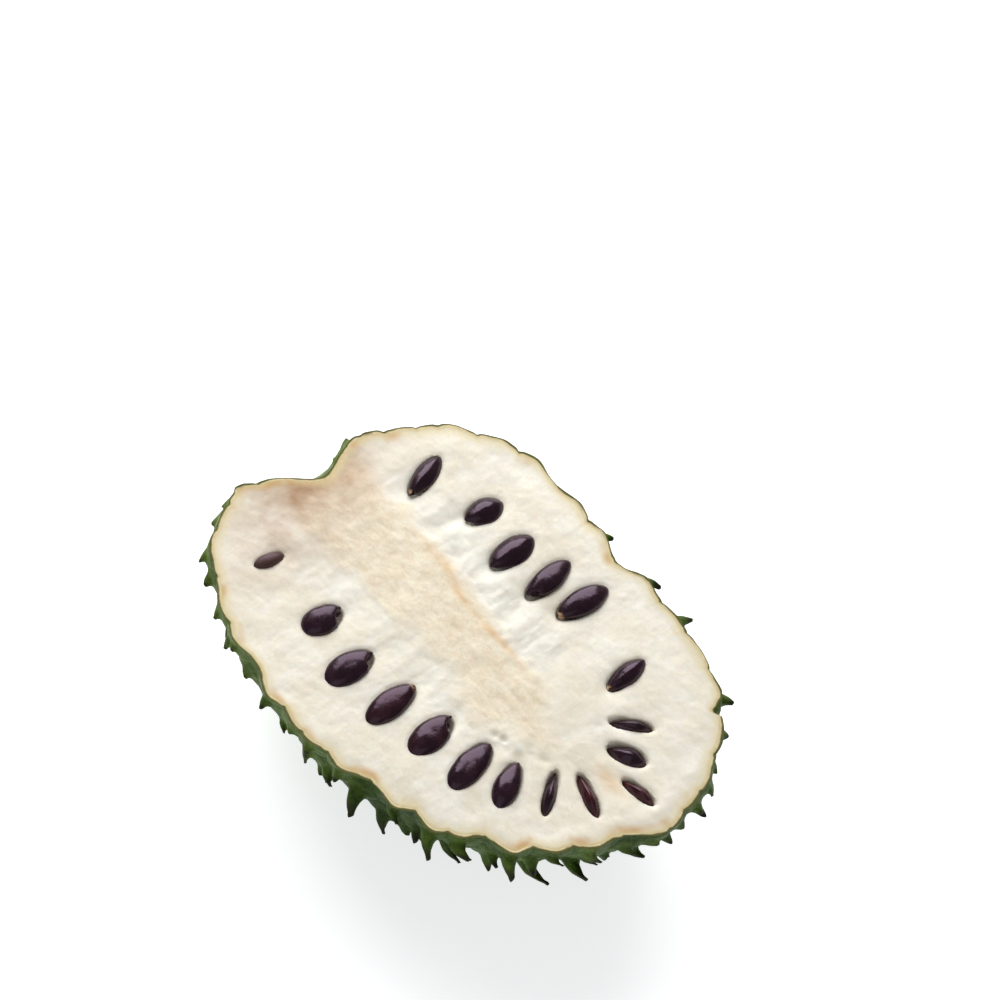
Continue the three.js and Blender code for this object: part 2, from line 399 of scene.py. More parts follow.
# %% Mounds and creases
MOUND_HEIGHT = 2.8
LEAST_MOUND = 0.45  # the mound of a spine without height, as a share of a usual one's
MOUND_WIDTH = 3.9
MOUND_STRETCH = 1.35  # how much longer a mound is along the fruit than across it
NEAR_RIM = 9.0  # the mounds of spines that stand less than this below the rim run up into it
RIM_SWELL = 0.45  # how much higher those are than the others, as a share
RUN_UP = 0.9  # how much of the way up to the rim their distances leave out
CREASE_DEPTH = 0.5
CREASE_WIDTH = 1.1
LOWERED = 1.2  # how far the skin between mounds lies under the plain form
LOWEST = -1.5  # and how deep it may lie in a crease
LUMP_HEIGHT, LUMP_SIZE = 0.5, 8
LUMP_STRETCH = (0.6, 1, 1)  # lumps are longer along the fruit
RIPPLE_HEIGHT, RIPPLE_SIZE = 0.12, 2.2
CALM_DEPTH = 3.0  # the skin is smooth where the stem's pit is deeper than this


def spine_distances(points):
    """Stretched distance from each point (N) to each spine's foot (M), as an array (N, M).

    The squared distance is |p|^2 + |f|^2 - 2 p.f. The part of it that runs along the spine's lean
    counts for less, by the square of the stretch, and near the rim so does the height.
    """
    foot, lean = spines["foot"], spines["lean"]
    squared = np.sum(points**2, axis=1)[:, None] + np.sum(foot**2, axis=1) - 2 * points @ foot.T
    along = points @ lean.T - np.sum(foot * lean, axis=1)
    upward = points[:, 2][:, None] - foot[:, 2]
    near_rim = smooth_step(NEAR_RIM, NEAR_RIM / 2, CUT_HEIGHT - foot[:, 2]) * (upward > 0)
    squared -= along**2 * (1 - MOUND_STRETCH**-2) + RUN_UP * near_rim * upward**2
    return np.sqrt(np.maximum(squared, 0))


def calm(direction):
    """1 over most of the fruit, and 0 in the stem's pit, where no spine has room."""
    return smooth_step(CALM_DEPTH, 0.3, stem_pit(direction))


def skin_relief(points, distances):
    """How far the skin stands out from the plain form: the sum of the mounds less the creases."""
    size = LEAST_MOUND + (1 - LEAST_MOUND) * spines["height"] / SPINE_HEIGHT
    size *= 1 + RIM_SWELL * smooth_step(NEAR_RIM, NEAR_RIM / 2, CUT_HEIGHT - spines["foot"][:, 2])
    mounds = MOUND_HEIGHT * size * np.exp(-((distances / MOUND_WIDTH) ** 2))
    nearest = np.partition(distances, 1, axis=1)
    crease = np.exp(-(((nearest[:, 1] - nearest[:, 0]) / CREASE_WIDTH) ** 2))
    lumps = LUMP_HEIGHT * layered_noise(points * LUMP_STRETCH, LUMP_SIZE, seed=11)
    lumps += RIPPLE_HEIGHT * noise(points, RIPPLE_SIZE, seed=15)
    return np.maximum(mounds.sum(axis=1) - CREASE_DEPTH * crease + lumps - LOWERED, LOWEST)


# %% [markdown]
# ## The cut rim
#
# The knife leaves a rim that follows the mounds, with one small nick. Skin and pulp meet along the
# same line, so both pieces take their rim from one function and no gap shows between them.

# %% The line where skin and pulp meet
NICK_ANGLE = 35.0  # degrees
NICK_LENGTH = 6.0  # degrees
NICK_DEPTH = 2.4
SKIN_THICKNESS = 1.2
EDGE_LINE = 0.22  # width of the dark line that is the skin's own outermost layer


def nick(angle):
    """A saw-tooth bite: it deepens evenly towards NICK_ANGLE and ends there at once."""
    from_tooth = np.degrees(np.mod(angle, 2 * math.pi)) - NICK_ANGLE
    inside = (from_tooth > 0) & (from_tooth < NICK_LENGTH)
    return np.where(inside, NICK_DEPTH * (1 - from_tooth / NICK_LENGTH), 0)


def rim_reach(angle):
    """Radius of the cut skin's outer edge without its spines and its nick."""
    direction = level_direction(angle)
    plain = fruit_point(direction)
    relief = skin_relief(plain, spine_distances(plain))
    return np.hypot(plain[:, 0], plain[:, 1]) + relief * calm(direction)


def inner_loop(depth, inset):
    """A loop at an angle below the cut plane, this far inside the plain form."""
    direction = level_direction(rim_angle) * math.cos(depth)
    direction[:, 2] = -math.sin(depth)
    return fruit_point(direction) - fruit_normal(direction) * inset


whole_rim_radius = rim_reach(rim_angle) - SKIN_THICKNESS
pulp_rim_radius = whole_rim_radius - nick(rim_angle)
print("pulp rim radius from", pulp_rim_radius.min().round(1), "to", pulp_rim_radius.max().round(1))

# %% [markdown]
# ## The skin
#
# The skin could be a plain shell with separate cones stuck on, but then each spine would meet it in
# a hard line. Here every spine is drawn out of the same surface: points near a foot are gathered
# towards it, lifted along the normal and leaned towards the tip of the fruit, which gives a thorn
# with a flaring base and a hooked point.

# %% Draw the spines out of the surface
HORN_BASE = 3.3  # radius of the foot of a spine of the usual height
LEAST_BASE = 0.65  # that of one without height, as a share of it
HORN_ROUNDNESS = 2.5  # above 1 rounds the point
HORN_SLIMNESS = 4.2  # higher gives a thinner spine with a wider flare
STUB_SLIMNESS = 2.6  # the same for the lowest ones, which are blunt
GATHER_REACH = 5.6  # points within this distance of the foot move closer to it
GATHER_POWER = 2.1
LEAST_RISE = 0.7  # the least of a spine's height that stands over its mound
HOOK_REACH = 1.0  # how far the point of the most curled spine leans, as a share of its height
HOOK_CAP = 0.85  # the share of the height above which the point leans as one
HOOK_POWER = 2.2  # higher bends only the last part
HOOK_DROP = 0.35  # how much a curled spine loses of its height
SIDEWAYS = 0.7  # how far a hook may turn from the fruit's length
CURL_POWER = 0.7  # below 1 makes curled spines commoner than straight ones
LOW, TALL = 1.5, 5.0  # mm, the heights between which a stub turns into a spine
STUB_DRYNESS = 2.4  # higher keeps the brown of the lowest ones closer to their points


def spine_shapes():
    """Reach of the gathering, base radius, rise over the mound, slimness, curl and hooking direction."""
    foot, normal, lean, height = (spines[k] for k in ("foot", "normal", "lean", "height"))
    apart = np.linalg.norm(foot[:, None] - foot[None], axis=2) + np.eye(len(foot)) * 1e3
    reach = np.minimum(GATHER_REACH, apart.min(axis=1) / 2)
    base = HORN_BASE * (LEAST_BASE + (1 - LEAST_BASE) * height / SPINE_HEIGHT)
    base = np.minimum(base, reach)
    rise = np.maximum(height - skin_relief(foot, spine_distances(foot)), height * LEAST_RISE)
    slim = STUB_SLIMNESS + (HORN_SLIMNESS - STUB_SLIMNESS) * smooth_step(LOW, TALL, height)
    curl = scatter(spines["index"], 3) ** CURL_POWER
    turn = SIDEWAYS * (2 * scatter(spines["index"], 4) - 1)
    hook = unit(lean + np.cross(normal, lean) * turn[:, None])
    return reach, base, rise, slim, curl, hook


def draw_out_spines(points, moved, on_rim, distances, smooth):
    """Moves the points near each foot onto its spine, and says how dry and brown each is.

    A point at a share q of the reach goes in to q^gather of it. Then, with r its distance over the
    base radius, it rises by (1 - r^roundness)^slim of the height. The hook leans by a power of
    that share, and takes a little off the height. All of it fades out in the stem's pit. Dryness is
    that share too, to a power that is higher on a stub.
    """
    reach, base, rise, slim, curl, hook = spine_shapes()
    nearest = distances.argmin(axis=1)
    n = spines["normal"][nearest]
    offset = points - spines["foot"][nearest]
    flat = offset - n * np.sum(offset * n, axis=1)[:, None]
    q = np.linalg.norm(flat, axis=1) / reach[nearest]
    gathered = flat * np.maximum(q, 1e-9)[:, None] ** (GATHER_POWER - 1)
    shift = np.where(q[:, None] < 1, gathered - flat, 0) * smooth[:, None]
    shift[:, 2] = np.where(on_rim, 0, np.minimum(shift[:, 2], CUT_HEIGHT - points[:, 2]))
    r = np.clip(np.linalg.norm(flat + shift, axis=1) / base[nearest], 0, 1)
    share = (1 - r**HORN_ROUNDNESS) ** slim[nearest] * smooth
    up = rise[nearest] * share * (1 - HOOK_DROP * curl[nearest] * share**2)
    bent = (np.minimum(share, HOOK_CAP) / HOOK_CAP) ** HOOK_POWER
    over = rise[nearest] * HOOK_REACH * curl[nearest] * bent
    dryness = STUB_DRYNESS + (1 - STUB_DRYNESS) * smooth_step(LOW, TALL, spines["height"][nearest])
    return moved + shift + n * up[:, None] + hook[nearest] * over[:, None], share**dryness


# %% Build the skin
ROW_BUNCHING = 0.25  # how much closer the rows are at the rim than at the bottom
WALL_ANGLES = np.radians([3, 8, 16, 28, 42, 56, 70, 81])  # rows of the skin's inner wall, below the rim
WALL_INSET = 2.7  # mm, deeper than the deepest crease
NICK_FADE = 40  # higher ends the nick closer below the rim
AREOLE_RADIUS = 4  # of the yellower skin around each foot


def skin_shell():
    """The outside of the half down from its rim, with how dry each point is and the yellow around each
    foot.
    """
    from_rim = 1 - disc_radius
    down = math.pi / 2 * (from_rim * (1 - ROW_BUNCHING) + ROW_BUNCHING * from_rim**2)
    direction = level_direction(disc_angle) * np.cos(down)[:, None]
    direction[:, 2] = -np.sin(down)
    direction = unit(direction)
    on_rim = disc_radius > 1 - 1e-9
    plain = fruit_point(direction)
    normal = fruit_normal(direction)
    normal[on_rim, 2] = 0
    distances = spine_distances(plain)
    fade = np.exp(-down * NICK_FADE)[:, None]
    bite = level_direction(disc_angle) * nick(disc_angle)[:, None] * fade
    smooth = calm(direction)
    moved = plain + normal * (skin_relief(plain, distances) * smooth)[:, None] - bite
    outside, dry = draw_out_spines(plain, moved, on_rim, distances, smooth)
    outside[:, 2] = np.clip(outside[:, 2], 0, CUT_HEIGHT)
    outside[on_rim, 2] = CUT_HEIGHT
    areole = np.exp(-((distances.min(axis=1) / AREOLE_RADIUS) ** 2))
    return outside, dry, areole


def inner_wall(first_index):
    """Loops of the cut edge and of the wall that holds the pulp, from the rim to a flat bottom."""
    level = level_direction(rim_angle)
    half_edge = level * (pulp_rim_radius + SKIN_THICKNESS - EDGE_LINE)[:, None]
    loops = [loop + (0, 0, CUT_HEIGHT) for loop in (half_edge, level * pulp_rim_radius[:, None])]
    loops += [inner_loop(depth, WALL_INSET) for depth in WALL_ANGLES]
    points = np.concatenate(loops)
    chains = [first_index + np.arange(len(rim)) + i * len(rim) for i in range(len(loops))]
    return points, chains


def build_skin():
    outside, dry, areole = skin_shell()
    wall_points, chains = inner_wall(len(outside))
    bottom = np.array([[0, 0, wall_points[-len(rim):, 2].mean()]])
    points = np.concatenate([outside, wall_points, bottom])
    loops = [rim] + chains
    quads = [grid_faces(GRID)[:, ::-1]]
    quads += [strip_faces(second, first) for first, second in zip(loops[:-1], loops[1:])]
    extra = len(points) - len(outside)
    cut = np.zeros(len(points))
    cut[chains[0]] = 0.5
    cut[chains[1][0]:] = 1
    return make_piece(
        "soursop_skin", points, np.concatenate(quads), [(len(points) - 1, chains[-1])],
        spine=np.concatenate([dry, np.zeros(extra)]),
        areole=np.concatenate([areole, np.zeros(extra)]), cut=cut)


skin = build_skin()

# %% [markdown]
# ## The seeds
#
# A soursop seed is shaped like a flattened egg, about as long as a thumbnail, with its scar at the
# end that points to the core. Each is measured off its CAD node, so it stays in its socket: its long
# axis is the direction in which its points spread most.

# %% Measure the seeds
CORE_START = np.array([-70.0, 0.0])
CORE_END = np.array([37.0, -3.0])
EDGE_ON = {"seed_08", "seed_09", "seed_10", "seed_11", "seed_12"}  # these show their narrow side


def nearest_on_core(xy):
    """The nearest point of the core's middle line to each point (N, 2)."""
    run = CORE_END - CORE_START
    t = np.clip((xy - CORE_START) @ run / (run @ run), 0, 1)
    return CORE_START + t[:, None] * run


def measure_seed(name):
    """Centre, axes (outwards, across, up) and size of a seed, from the spread of its CAD points."""
    points = np.unique(node_points(name).round(3), axis=0)
    middle = points.mean(axis=0)
    _, _, axes = np.linalg.svd(points - middle, full_matrices=False)
    outward = axes[0]
    core = nearest_on_core(middle[None, :2])[0]
    if outward[:2] @ (middle[:2] - core) < 0:
        outward = -outward
    across = unit(np.cross([[0, 0, 1]], outward[None]))[0]
    up = np.cross(outward, across)
    frame_axes = np.stack([outward, across, up])
    spread = (points - middle) @ frame_axes.T
    low, high = spread.min(axis=0), spread.max(axis=0)
    centre = middle + (low + high) / 2 @ frame_axes
    return dict(name=name, centre=centre, axes=frame_axes, size=high - low)


seeds = [measure_seed(name) for name in seed_names]
for seed in seeds[:3]:
    print(seed["name"], "centre", seed["centre"].round(1), "size", seed["size"].round(1))

# %% Build the seeds
SEED_RINGS = 48
SEED_SIDES = 56
SEED_EGG = 1.2  # above 1 moves the broadest place outwards
PLUMP = 0.58  # low gives blunt ends, for seeds that show their broad side
BLUNT = 0.47  # blunter still
BLUNT_SEEDS = {"seed_02", "seed_03", "seed_04", "seed_05", "seed_06"}
SPINDLE = 1.0  # high gives pointed ends, for seeds on edge
ROUND_SECTION = 2.3  # 2 is an ellipse
KEELED_SECTION = 1.5  # 1 is a diamond, so this has a soft keel along the top
KEELED = {"seed_13", "seed_16", "seed_17", "seed_18"} | EDGE_ON
CHIPPED = {"seed_02": 1, "seed_03": 1, "seed_05": 1, "seed_15": -1}  # torn at the inner end, on a side
BITE_ALONG, BITE_ACROSS = -0.46, 0.34  # as shares of the seed's size
BITE_REACH = 4.2
BITE_DEPTH = 2.8
DENTS, WRINKLES, SCAR_WEAR = 0.22, 0.05, 0.4  # mm
RED_COATS = {"seed_09": 1.0, "seed_10": 1.0, "seed_04": 0.3, "seed_05": 0.25}
DULL_COATS = {"seed_01": 1.0}
TAN_ENDS = {"seed_04": 0.7, "seed_13": 1.0, "seed_14": 1.0, "seed_18": 0.9}


def seed_section(angle, power):
    """Across and up at an angle around the seed: |across|^p + |up|^p = 1, scaled to a half."""
    c, s = np.cos(angle), np.sin(angle)
    reach = (np.abs(c) ** power + np.abs(s) ** power) ** (-1 / power)
    return reach * c / 2, reach * s / 2


def seed_points(seed, number):
    """A profile turned about the seed's length and flattened.

    At share s of the length the radius is sin(pi s^egg)^point. The top and bottom are dented by
    noise, and the inner end is worn at the scar.
    """
    name = seed["name"]
    s = (1 - np.cos(np.linspace(0, math.pi, SEED_RINGS + 1)[1:-1])) / 2
    turn_around = np.linspace(0, 2 * math.pi, SEED_SIDES, endpoint=False)
    share, angle = np.meshgrid(s, turn_around, indexing="ij")
    point = SPINDLE if name in EDGE_ON else BLUNT if name in BLUNT_SEEDS else PLUMP
    radius = np.sin(math.pi * share**SEED_EGG) ** point
    across, up = seed_section(angle, KEELED_SECTION if name in KEELED else ROUND_SECTION)
    local = np.stack([share - 0.5, radius * across, radius * up], axis=2)
    ends = np.array([[-0.5, 0, 0], [0.5, 0, 0]])
    local = np.concatenate([local.reshape(-1, 3), ends]) * seed["size"]
    own = local + number * 31.7
    dents = DENTS * noise(own, 4.5, seed=40) + WRINKLES * noise(own, 1.4, seed=41)
    near_scar = smooth_step(0.2, 0.0, local[:, 0] / seed["size"][0] + 0.5)
    dents -= near_scar * SCAR_WEAR * (0.4 + np.abs(noise(own, 1.5, seed=43)))
    if name in CHIPPED:
        bite_at = (BITE_ALONG, BITE_ACROSS * CHIPPED[name]) * seed["size"][:2]
        from_bite = np.linalg.norm(local[:, :2] - bite_at, axis=1)
        ragged = 1 + 0.9 * noise(own, 1.3, seed=44)
        dents -= BITE_DEPTH * smooth_step(BITE_REACH, BITE_REACH * 0.35, from_bite) * ragged
    local += unit(local + 1e-9) * dents[:, None]
    return seed["centre"] + local @ seed["axes"], near_scar


def build_seed(seed, number):
    name = seed["name"]
    points, near_scar = seed_points(seed, number)
    rings = np.arange((SEED_RINGS - 1) * SEED_SIDES).reshape(-1, SEED_SIDES)
    quads = np.concatenate([strip_faces(second, first) for first, second in zip(rings[:-1], rings[1:])])
    inner_end, outer_end = rings.size, rings.size + 1
    fans = [(inner_end, rings[0]), (outer_end, rings[-1][::-1])]
    same = np.ones(len(points))
    return make_piece(
        f"soursop_{name}", points, quads, fans, scar=near_scar * TAN_ENDS.get(name, 0.35),
        red=same * RED_COATS.get(name, 0.1), dull=same * DULL_COATS.get(name, 0))


seed_pieces = [build_seed(seed, number) for number, seed in enumerate(seeds)]

# %% [markdown]
# ## The pulp
#
# The pulp grows as many segments, one around each seed, with fibres that run from the core out to the
# skin. The knife leaves it nearly flat, but each seed sits in a small hollow that opens towards the
# core, the segments stand a little proud of the lines between them, and the core is coarse and dry.

# %% Where the core lies on the cut face
CORE_SIDE = np.array([
    [-74, -14.0, 12.5], [-47, -16.0, 14.0], [-30, -12.0, 14.0], [-12, -11.0, 10.5], [5, -10.5, 10.0],
    [20, -13.0, 10.5], [33, -9.0, 3.5], [41, -4.0, -1.0]])  # x, and the core's lower and upper edge
VEIN = np.array([[-40, 10.5], [-29, 12.2], [-20, 10.0], [-9, 8.2], [0, 8.2], [10, 9.5], [20, 8.5]])
VEIN_WIDTH = 1.5
VEIN_RUN = (-42, -30, 8, 26)  # x where it starts, is strongest, fades and ends
WET_RUN = (-62, -48, 16, 32)  # the same for the wet flesh along the core
WET_DEPTH = (-17, -9, -3, 1)  # and for how far inside the core's edge it lies
LOWER_WETNESS = 0.6
STAIN_PLACE = (61, 5)  # an orange stain between two of the end seeds
STAIN_SIZE = (6, 2.5)
PIT_BROWNING = 13  # mm around the stem's pit
SHOULDER, SHOULDER_SIZE = (-68, -21), 16  # a browned patch beside it
STRAND_RADIUS = 16.0  # the fibres are told apart where they cross this far from the core's line


def flat_points(xy):
    return np.c_[xy, np.zeros(len(xy))]


def core_depth(xy):
    """How far inside the core's edges a point lies, in mm, and less than 0 outside it."""
    low = np.interp(xy[:, 0], CORE_SIDE[:, 0], CORE_SIDE[:, 1])
    high = np.interp(xy[:, 0], CORE_SIDE[:, 0], CORE_SIDE[:, 2])
    ends = CORE_SIDE[-1, 0] - xy[:, 0]
    wobble = 2.4 * layered_noise(flat_points(xy), 8, seed=51)
    return np.minimum(np.minimum(xy[:, 1] - low, high - xy[:, 1]), ends) + wobble


def vein_mask(xy):
    """1 on the orange vein along the core's upper edge, and 0 a few millimetres from it."""
    middle = np.interp(xy[:, 0], VEIN[:, 0], VEIN[:, 1]) + 0.7 * noise(flat_points(xy), 5, seed=53)
    ends = between(xy[:, 0], *VEIN_RUN)
    broken = 0.45 + 0.55 * smooth_step(-0.4, 0.3, noise(flat_points(xy), 4, seed=54))
    stain = 0.75 * np.exp(-(np.linalg.norm((xy - STAIN_PLACE) / STAIN_SIZE, axis=1) ** 2))
    return np.exp(-(((xy[:, 1] - middle) / VEIN_WIDTH) ** 2)) * ends * broken + stain


def wet_mask(xy, depth):
    """1 where juice lies beside the core: broadly along its upper edge, faintly along its lower one."""
    above = xy[:, 1] > np.interp(xy[:, 0], VEIN[:, 0], VEIN[:, 1] - 8)
    wetness = between(depth, *WET_DEPTH) * between(xy[:, 0], *WET_RUN)
    return wetness * np.where(above, 1, LOWER_WETNESS)


def stem_mask(xy):
    """1 where the flesh has browned next to the stem's pit, and fading from there."""
    pit = CORE_START - (4, 0)
    from_pit = np.linalg.norm((xy - pit) * (1, 0.8), axis=1)
    from_shoulder = np.linalg.norm((xy - SHOULDER) * (1, 0.7), axis=1)
    close = 1.1 * np.exp(-((from_pit / PIT_BROWNING) ** 2))
    shoulder = np.exp(-((from_shoulder / SHOULDER_SIZE) ** 2))
    patchy = 0.8 + 0.3 * layered_noise(flat_points(xy), 6, seed=56)
    return np.clip((close + 0.5 * shoulder) * patchy, 0, 1)


def strand_place(xy):
    """A place that is the same all along a fibre: where it crosses a line drawn around the core."""
    core = nearest_on_core(xy)
    away = xy - core
    distance = np.linalg.norm(away, axis=1)
    crossing = core + away / np.maximum(distance, 1e-6)[:, None] * STRAND_RADIUS
    return np.c_[crossing, distance]


# %% Hollows around the seeds
SCOOP_WIDTH = 4.0
SCOOP_DEPTH = 0.6
EDGE_ON_DEPTH = 0.2  # that of the hollow around a seed on edge
FAR_ROW = 2  # how much deeper the hollows of the row on the +Y side are
SCOOP_RUN = 8.0  # how far past its seed a hollow runs towards the core
MOAT_WIDTH = 0.7
MOAT_DEPTH = 0.2
SOCKET_DEPTH = 3.2


def seed_gap(seed, xy):
    """Distance from each point to the seed's outline on the cut face, less than 0 inside, and
    where the point lies along and across the seed."""
    along = (xy - seed["centre"][:2]) @ seed["axes"][0, :2]
    across = (xy - seed["centre"][:2]) @ seed["axes"][1, :2]
    half_length, half_width = seed["size"][:2] / 2
    ratio = np.sqrt((along / half_length) ** 2 + (across / half_width) ** 2)
    return np.hypot(along, across) * (1 - 1 / np.maximum(ratio, 1e-6)), along, across


def seed_hollows(xy):
    """Depth of the hollows that the seeds lie in, and how close the nearest seed is, which the pulp's
    colour uses as painted shade.

    Each has a scoop that runs from the seed's middle towards the core, a narrow moat that follows
    its outline, and a socket under it.
    """
    hollow = np.zeros(len(xy))
    closeness = np.zeros(len(xy))
    for seed in seeds:
        gap, along, across = seed_gap(seed, xy)
        half = seed["size"][0] / 2
        deep = EDGE_ON_DEPTH if seed["name"] in EDGE_ON else SCOOP_DEPTH
        deep *= FAR_ROW if seed["centre"][1] > 0 else 1
        run = between(along, -half - SCOOP_RUN, -half * 0.6, 0, half + 2)
        scoop = deep * run * np.exp(-((across / SCOOP_WIDTH) ** 2))
        moat = np.exp(-((np.maximum(gap, 0) / MOAT_WIDTH) ** 2))
        hollow += scoop + MOAT_DEPTH * moat + SOCKET_DEPTH * smooth_step(-0.3, -1.6, gap)
        # The strongest moat at each point is kept as painted shade around the seeds' outlines, for the
        # pulp's colour.
        closeness = np.maximum(closeness, moat)
    return hollow, closeness


# %% Relief of the cut face
PITS = 7
PITS_FROM = np.array([30.0, -15.0])
PITS_TO = np.array([43.0, -5.0])
PITS_ASTRAY = 2.0
PIT_WIDTH = 1.5
LEVEL_RIM = 6.0  # the relief fades out over this distance from the rim
SWELLS, WAVES, GRAIN, CORE_GRAIN = 0.45, 0.17, 0.06, 0.08  # mm, from broad to fine
WET_SINK = 0.5
PIT_SINK = 0.8


def folds(strand, wet):
    """Ridges and dips that run with the fibres, deepest where the flesh is wet."""
    astray = strand + 1.6 * np.c_[noise(strand, 7, seed=63), noise(strand, 7, seed=69), strand[:, 2] * 0]
    broad = noise(astray * (1, 1, 0.2), 4.2, seed=65)
    fine = noise(astray * (1, 1, 0.3), 1.7, seed=66)
    return (0.07 + 0.26 * wet) * broad + (0.03 + 0.10 * wet) * fine


def dimples(xy):
    """Soft pits in a row across the tip of the core, where the fibres end."""
    total = np.zeros(len(xy))
    for index in range(PITS):
        middle = PITS_FROM + (PITS_TO - PITS_FROM) * index / (PITS - 1)
        middle = middle + PITS_ASTRAY * (np.array([scatter(index, 5), scatter(index, 6)]) * 2 - 1)
        width = PIT_WIDTH * (0.7 + 0.7 * scatter(index, 7))
        away = np.linalg.norm((xy - middle) * (0.8, 1), axis=1) / width
        total = np.maximum(total, (0.4 + 0.6 * scatter(index, 8)) * np.exp(-(away**2)))
    return total


def cut_face_relief(xy, from_rim):
    """Height of the cut face over the cut plane in mm, and the masks that its finish needs."""
    flat = flat_points(xy)
    strand = strand_place(xy)
    depth = core_depth(xy)
    core = smooth_step(-4, 4, depth)
    wet = wet_mask(xy, depth)
    hollow, closeness = seed_hollows(xy)
    away = smooth_step(3, 12, strand[:, 2])
    height = SWELLS * noise(flat, 19, seed=61) + WAVES * layered_noise(flat, 7, seed=62)
    height += GRAIN * layered_noise(flat, 2.4, seed=64) + away * folds(strand, wet)
    height += core * CORE_GRAIN * layered_noise(flat * (0.5, 1, 1), 2.0, seed=67)
    height -= WET_SINK * wet + PIT_SINK * dimples(xy) + hollow
    masks = dict(core=core, wet=wet, closeness=closeness, vein=vein_mask(xy), brown=stem_mask(xy))
    # Painted shade: the dimples and the troughs of the wet folds are darkened grey in the pulp's colour.
    masks["dip"] = np.clip(0.6 * dimples(xy) + 0.6 * wet * smooth_step(0, -0.4, folds(strand, wet)), 0, 1)
    return height * smooth_step(0, LEVEL_RIM, from_rim), strand, masks


# %% Build the pulp
PULP_INSET = WALL_INSET + 0.1  # the hidden walls of skin and pulp stay this little apart


def build_pulp():
    """The cut face as a disc grid that reaches the skin, closed by loops down to a flat bottom."""
    reach = np.interp(np.mod(disc_angle, 2 * math.pi), *sorted_rim())
    out = disc_radius * reach - nick(disc_angle) * disc_radius**20
    xy = level_direction(disc_angle)[:, :2] * out[:, None]
    from_rim = (1 - disc_radius) * reach
    height, strand, masks = cut_face_relief(xy, from_rim)
    top = np.c_[xy, CUT_HEIGHT + height]
    loops = [inner_loop(depth, PULP_INSET) for depth in WALL_ANGLES]
    points = np.concatenate([top] + loops + [[[0, 0, loops[-1][:, 2].mean()]]])
    chains = [rim] + [len(top) + np.arange(len(rim)) + i * len(rim) for i in range(len(loops))]
    quads = [grid_faces(GRID)]
    quads += [strip_faces(first, second) for first, second in zip(chains[:-1], chains[1:])]
    extra = len(points) - len(top)
    pad = np.zeros(extra)
    return make_piece(
        "soursop_pulp", points, np.concatenate(quads), [(len(points) - 1, chains[-1][::-1])],
        rim_gap=np.r_[from_rim, pad], strand=np.concatenate([strand * MM, np.zeros((extra, 3))]),
        **{label: np.r_[mask, pad] for label, mask in masks.items()})


def sorted_rim():
    """The rim's angles from 0 to a full turn, in order, with the un-nicked pulp's radius at each."""
    angle = np.mod(rim_angle, 2 * math.pi)
    order = np.argsort(angle)
    angle, radius = angle[order], whole_rim_radius[order]
    return np.r_[angle, 2 * math.pi], np.r_[radius, radius[0]]


pulp = build_pulp()

# %% [markdown]
# ## Materials
#
# Every material is made of nodes. A small helper keeps the wiring short: it adds a node, sets its
# sockets and links the ones that come from other nodes.

# %% Node helpers
class Nodes:
    """Adds nodes to one tree. A value that is a socket is linked, and any other value is set."""

    def __init__(self, tree):
        self.tree = tree

    def add(self, kind, settings=None, **inputs):
        node = self.tree.nodes.new(kind)
        for label, value in (settings or {}).items():
            setattr(node, label, value)
        for label, value in inputs.items():
            self.plug(node.inputs[label.replace("_", " ")], value)
        return node

    def plug(self, socket, value):
        if isinstance(value, bpy.types.NodeSocket):
            self.tree.links.new(value, socket)
        else:
            socket.default_value = value

    def attribute(self, label, output="Fac"):
        return self.add("ShaderNodeAttribute", {"attribute_name": label}).outputs[output]

    def noise(self, vector, scale, detail=3.0, roughness=0.55, distortion=0.0):
        node = self.add("ShaderNodeTexNoise", Vector=vector, Scale=scale, Detail=detail,
                        Roughness=roughness, Distortion=distortion)
        return node.outputs["Fac"]

    def span(self, value, low, high, to_low=0.0, to_high=1.0):
        """Maps low..high to to_low..to_high, smoothly and clamped."""
        node = self.add("ShaderNodeMapRange", {"interpolation_type": "SMOOTHSTEP"}, Value=value)
        ends = {"From Min": low, "From Max": high, "To Min": to_low, "To Max": to_high}
        for label, number in ends.items():
            node.inputs[label].default_value = number
        return node.outputs["Result"]

    def math(self, operation, first, second=0.0):
        node = self.add("ShaderNodeMath", {"operation": operation})
        self.plug(node.inputs[0], first)
        self.plug(node.inputs[1], second)
        return node.outputs[0]

    def mix(self, factor, first, second):
        """Mixes two colours."""
        node = self.add("ShaderNodeMix", {"data_type": "RGBA"})
        self.plug(node.inputs[0], factor)
        self.plug(node.inputs[6], first)
        self.plug(node.inputs[7], second)
        return node.outputs[2]

    def lay(self, colour, mask, strength, coat):
        """Lays a coat over a colour where the mask is high, at most at this strength."""
        return self.mix(self.math("MULTIPLY", mask, strength), colour, coat)

    def stretch(self, vector, scale):
        node = self.add("ShaderNodeMapping", Vector=vector, Scale=scale)
        return node.outputs["Vector"]

    def bump(self, height, strength, distance, normal=None):
        node = self.add("ShaderNodeBump", Height=height, Strength=strength, Distance=distance)
        if normal is not None:
            self.plug(node.inputs["Normal"], normal)
        return node.outputs["Normal"]


def new_material(name):
    """A material with a bare Principled shader, and the helper for its tree."""
    material = bpy.data.materials.new(name)
    material.use_nodes = True
    material.node_tree.nodes.clear()
    nodes = Nodes(material.node_tree)
    output = nodes.add("ShaderNodeOutputMaterial")
    shader = nodes.add("ShaderNodeBsdfPrincipled")
    nodes.plug(output.inputs["Surface"], shader.outputs["BSDF"])
    return material, nodes, shader


def object_place(nodes):
    return nodes.add("ShaderNodeTexCoord").outputs["Object"]


# %% [markdown]
# Each finish has fine mottling, so one group makes it: noise at two scales, which shifts a colour
# between a darker and a lighter one. Pores, cells and fibres differ only in the values they pass in.

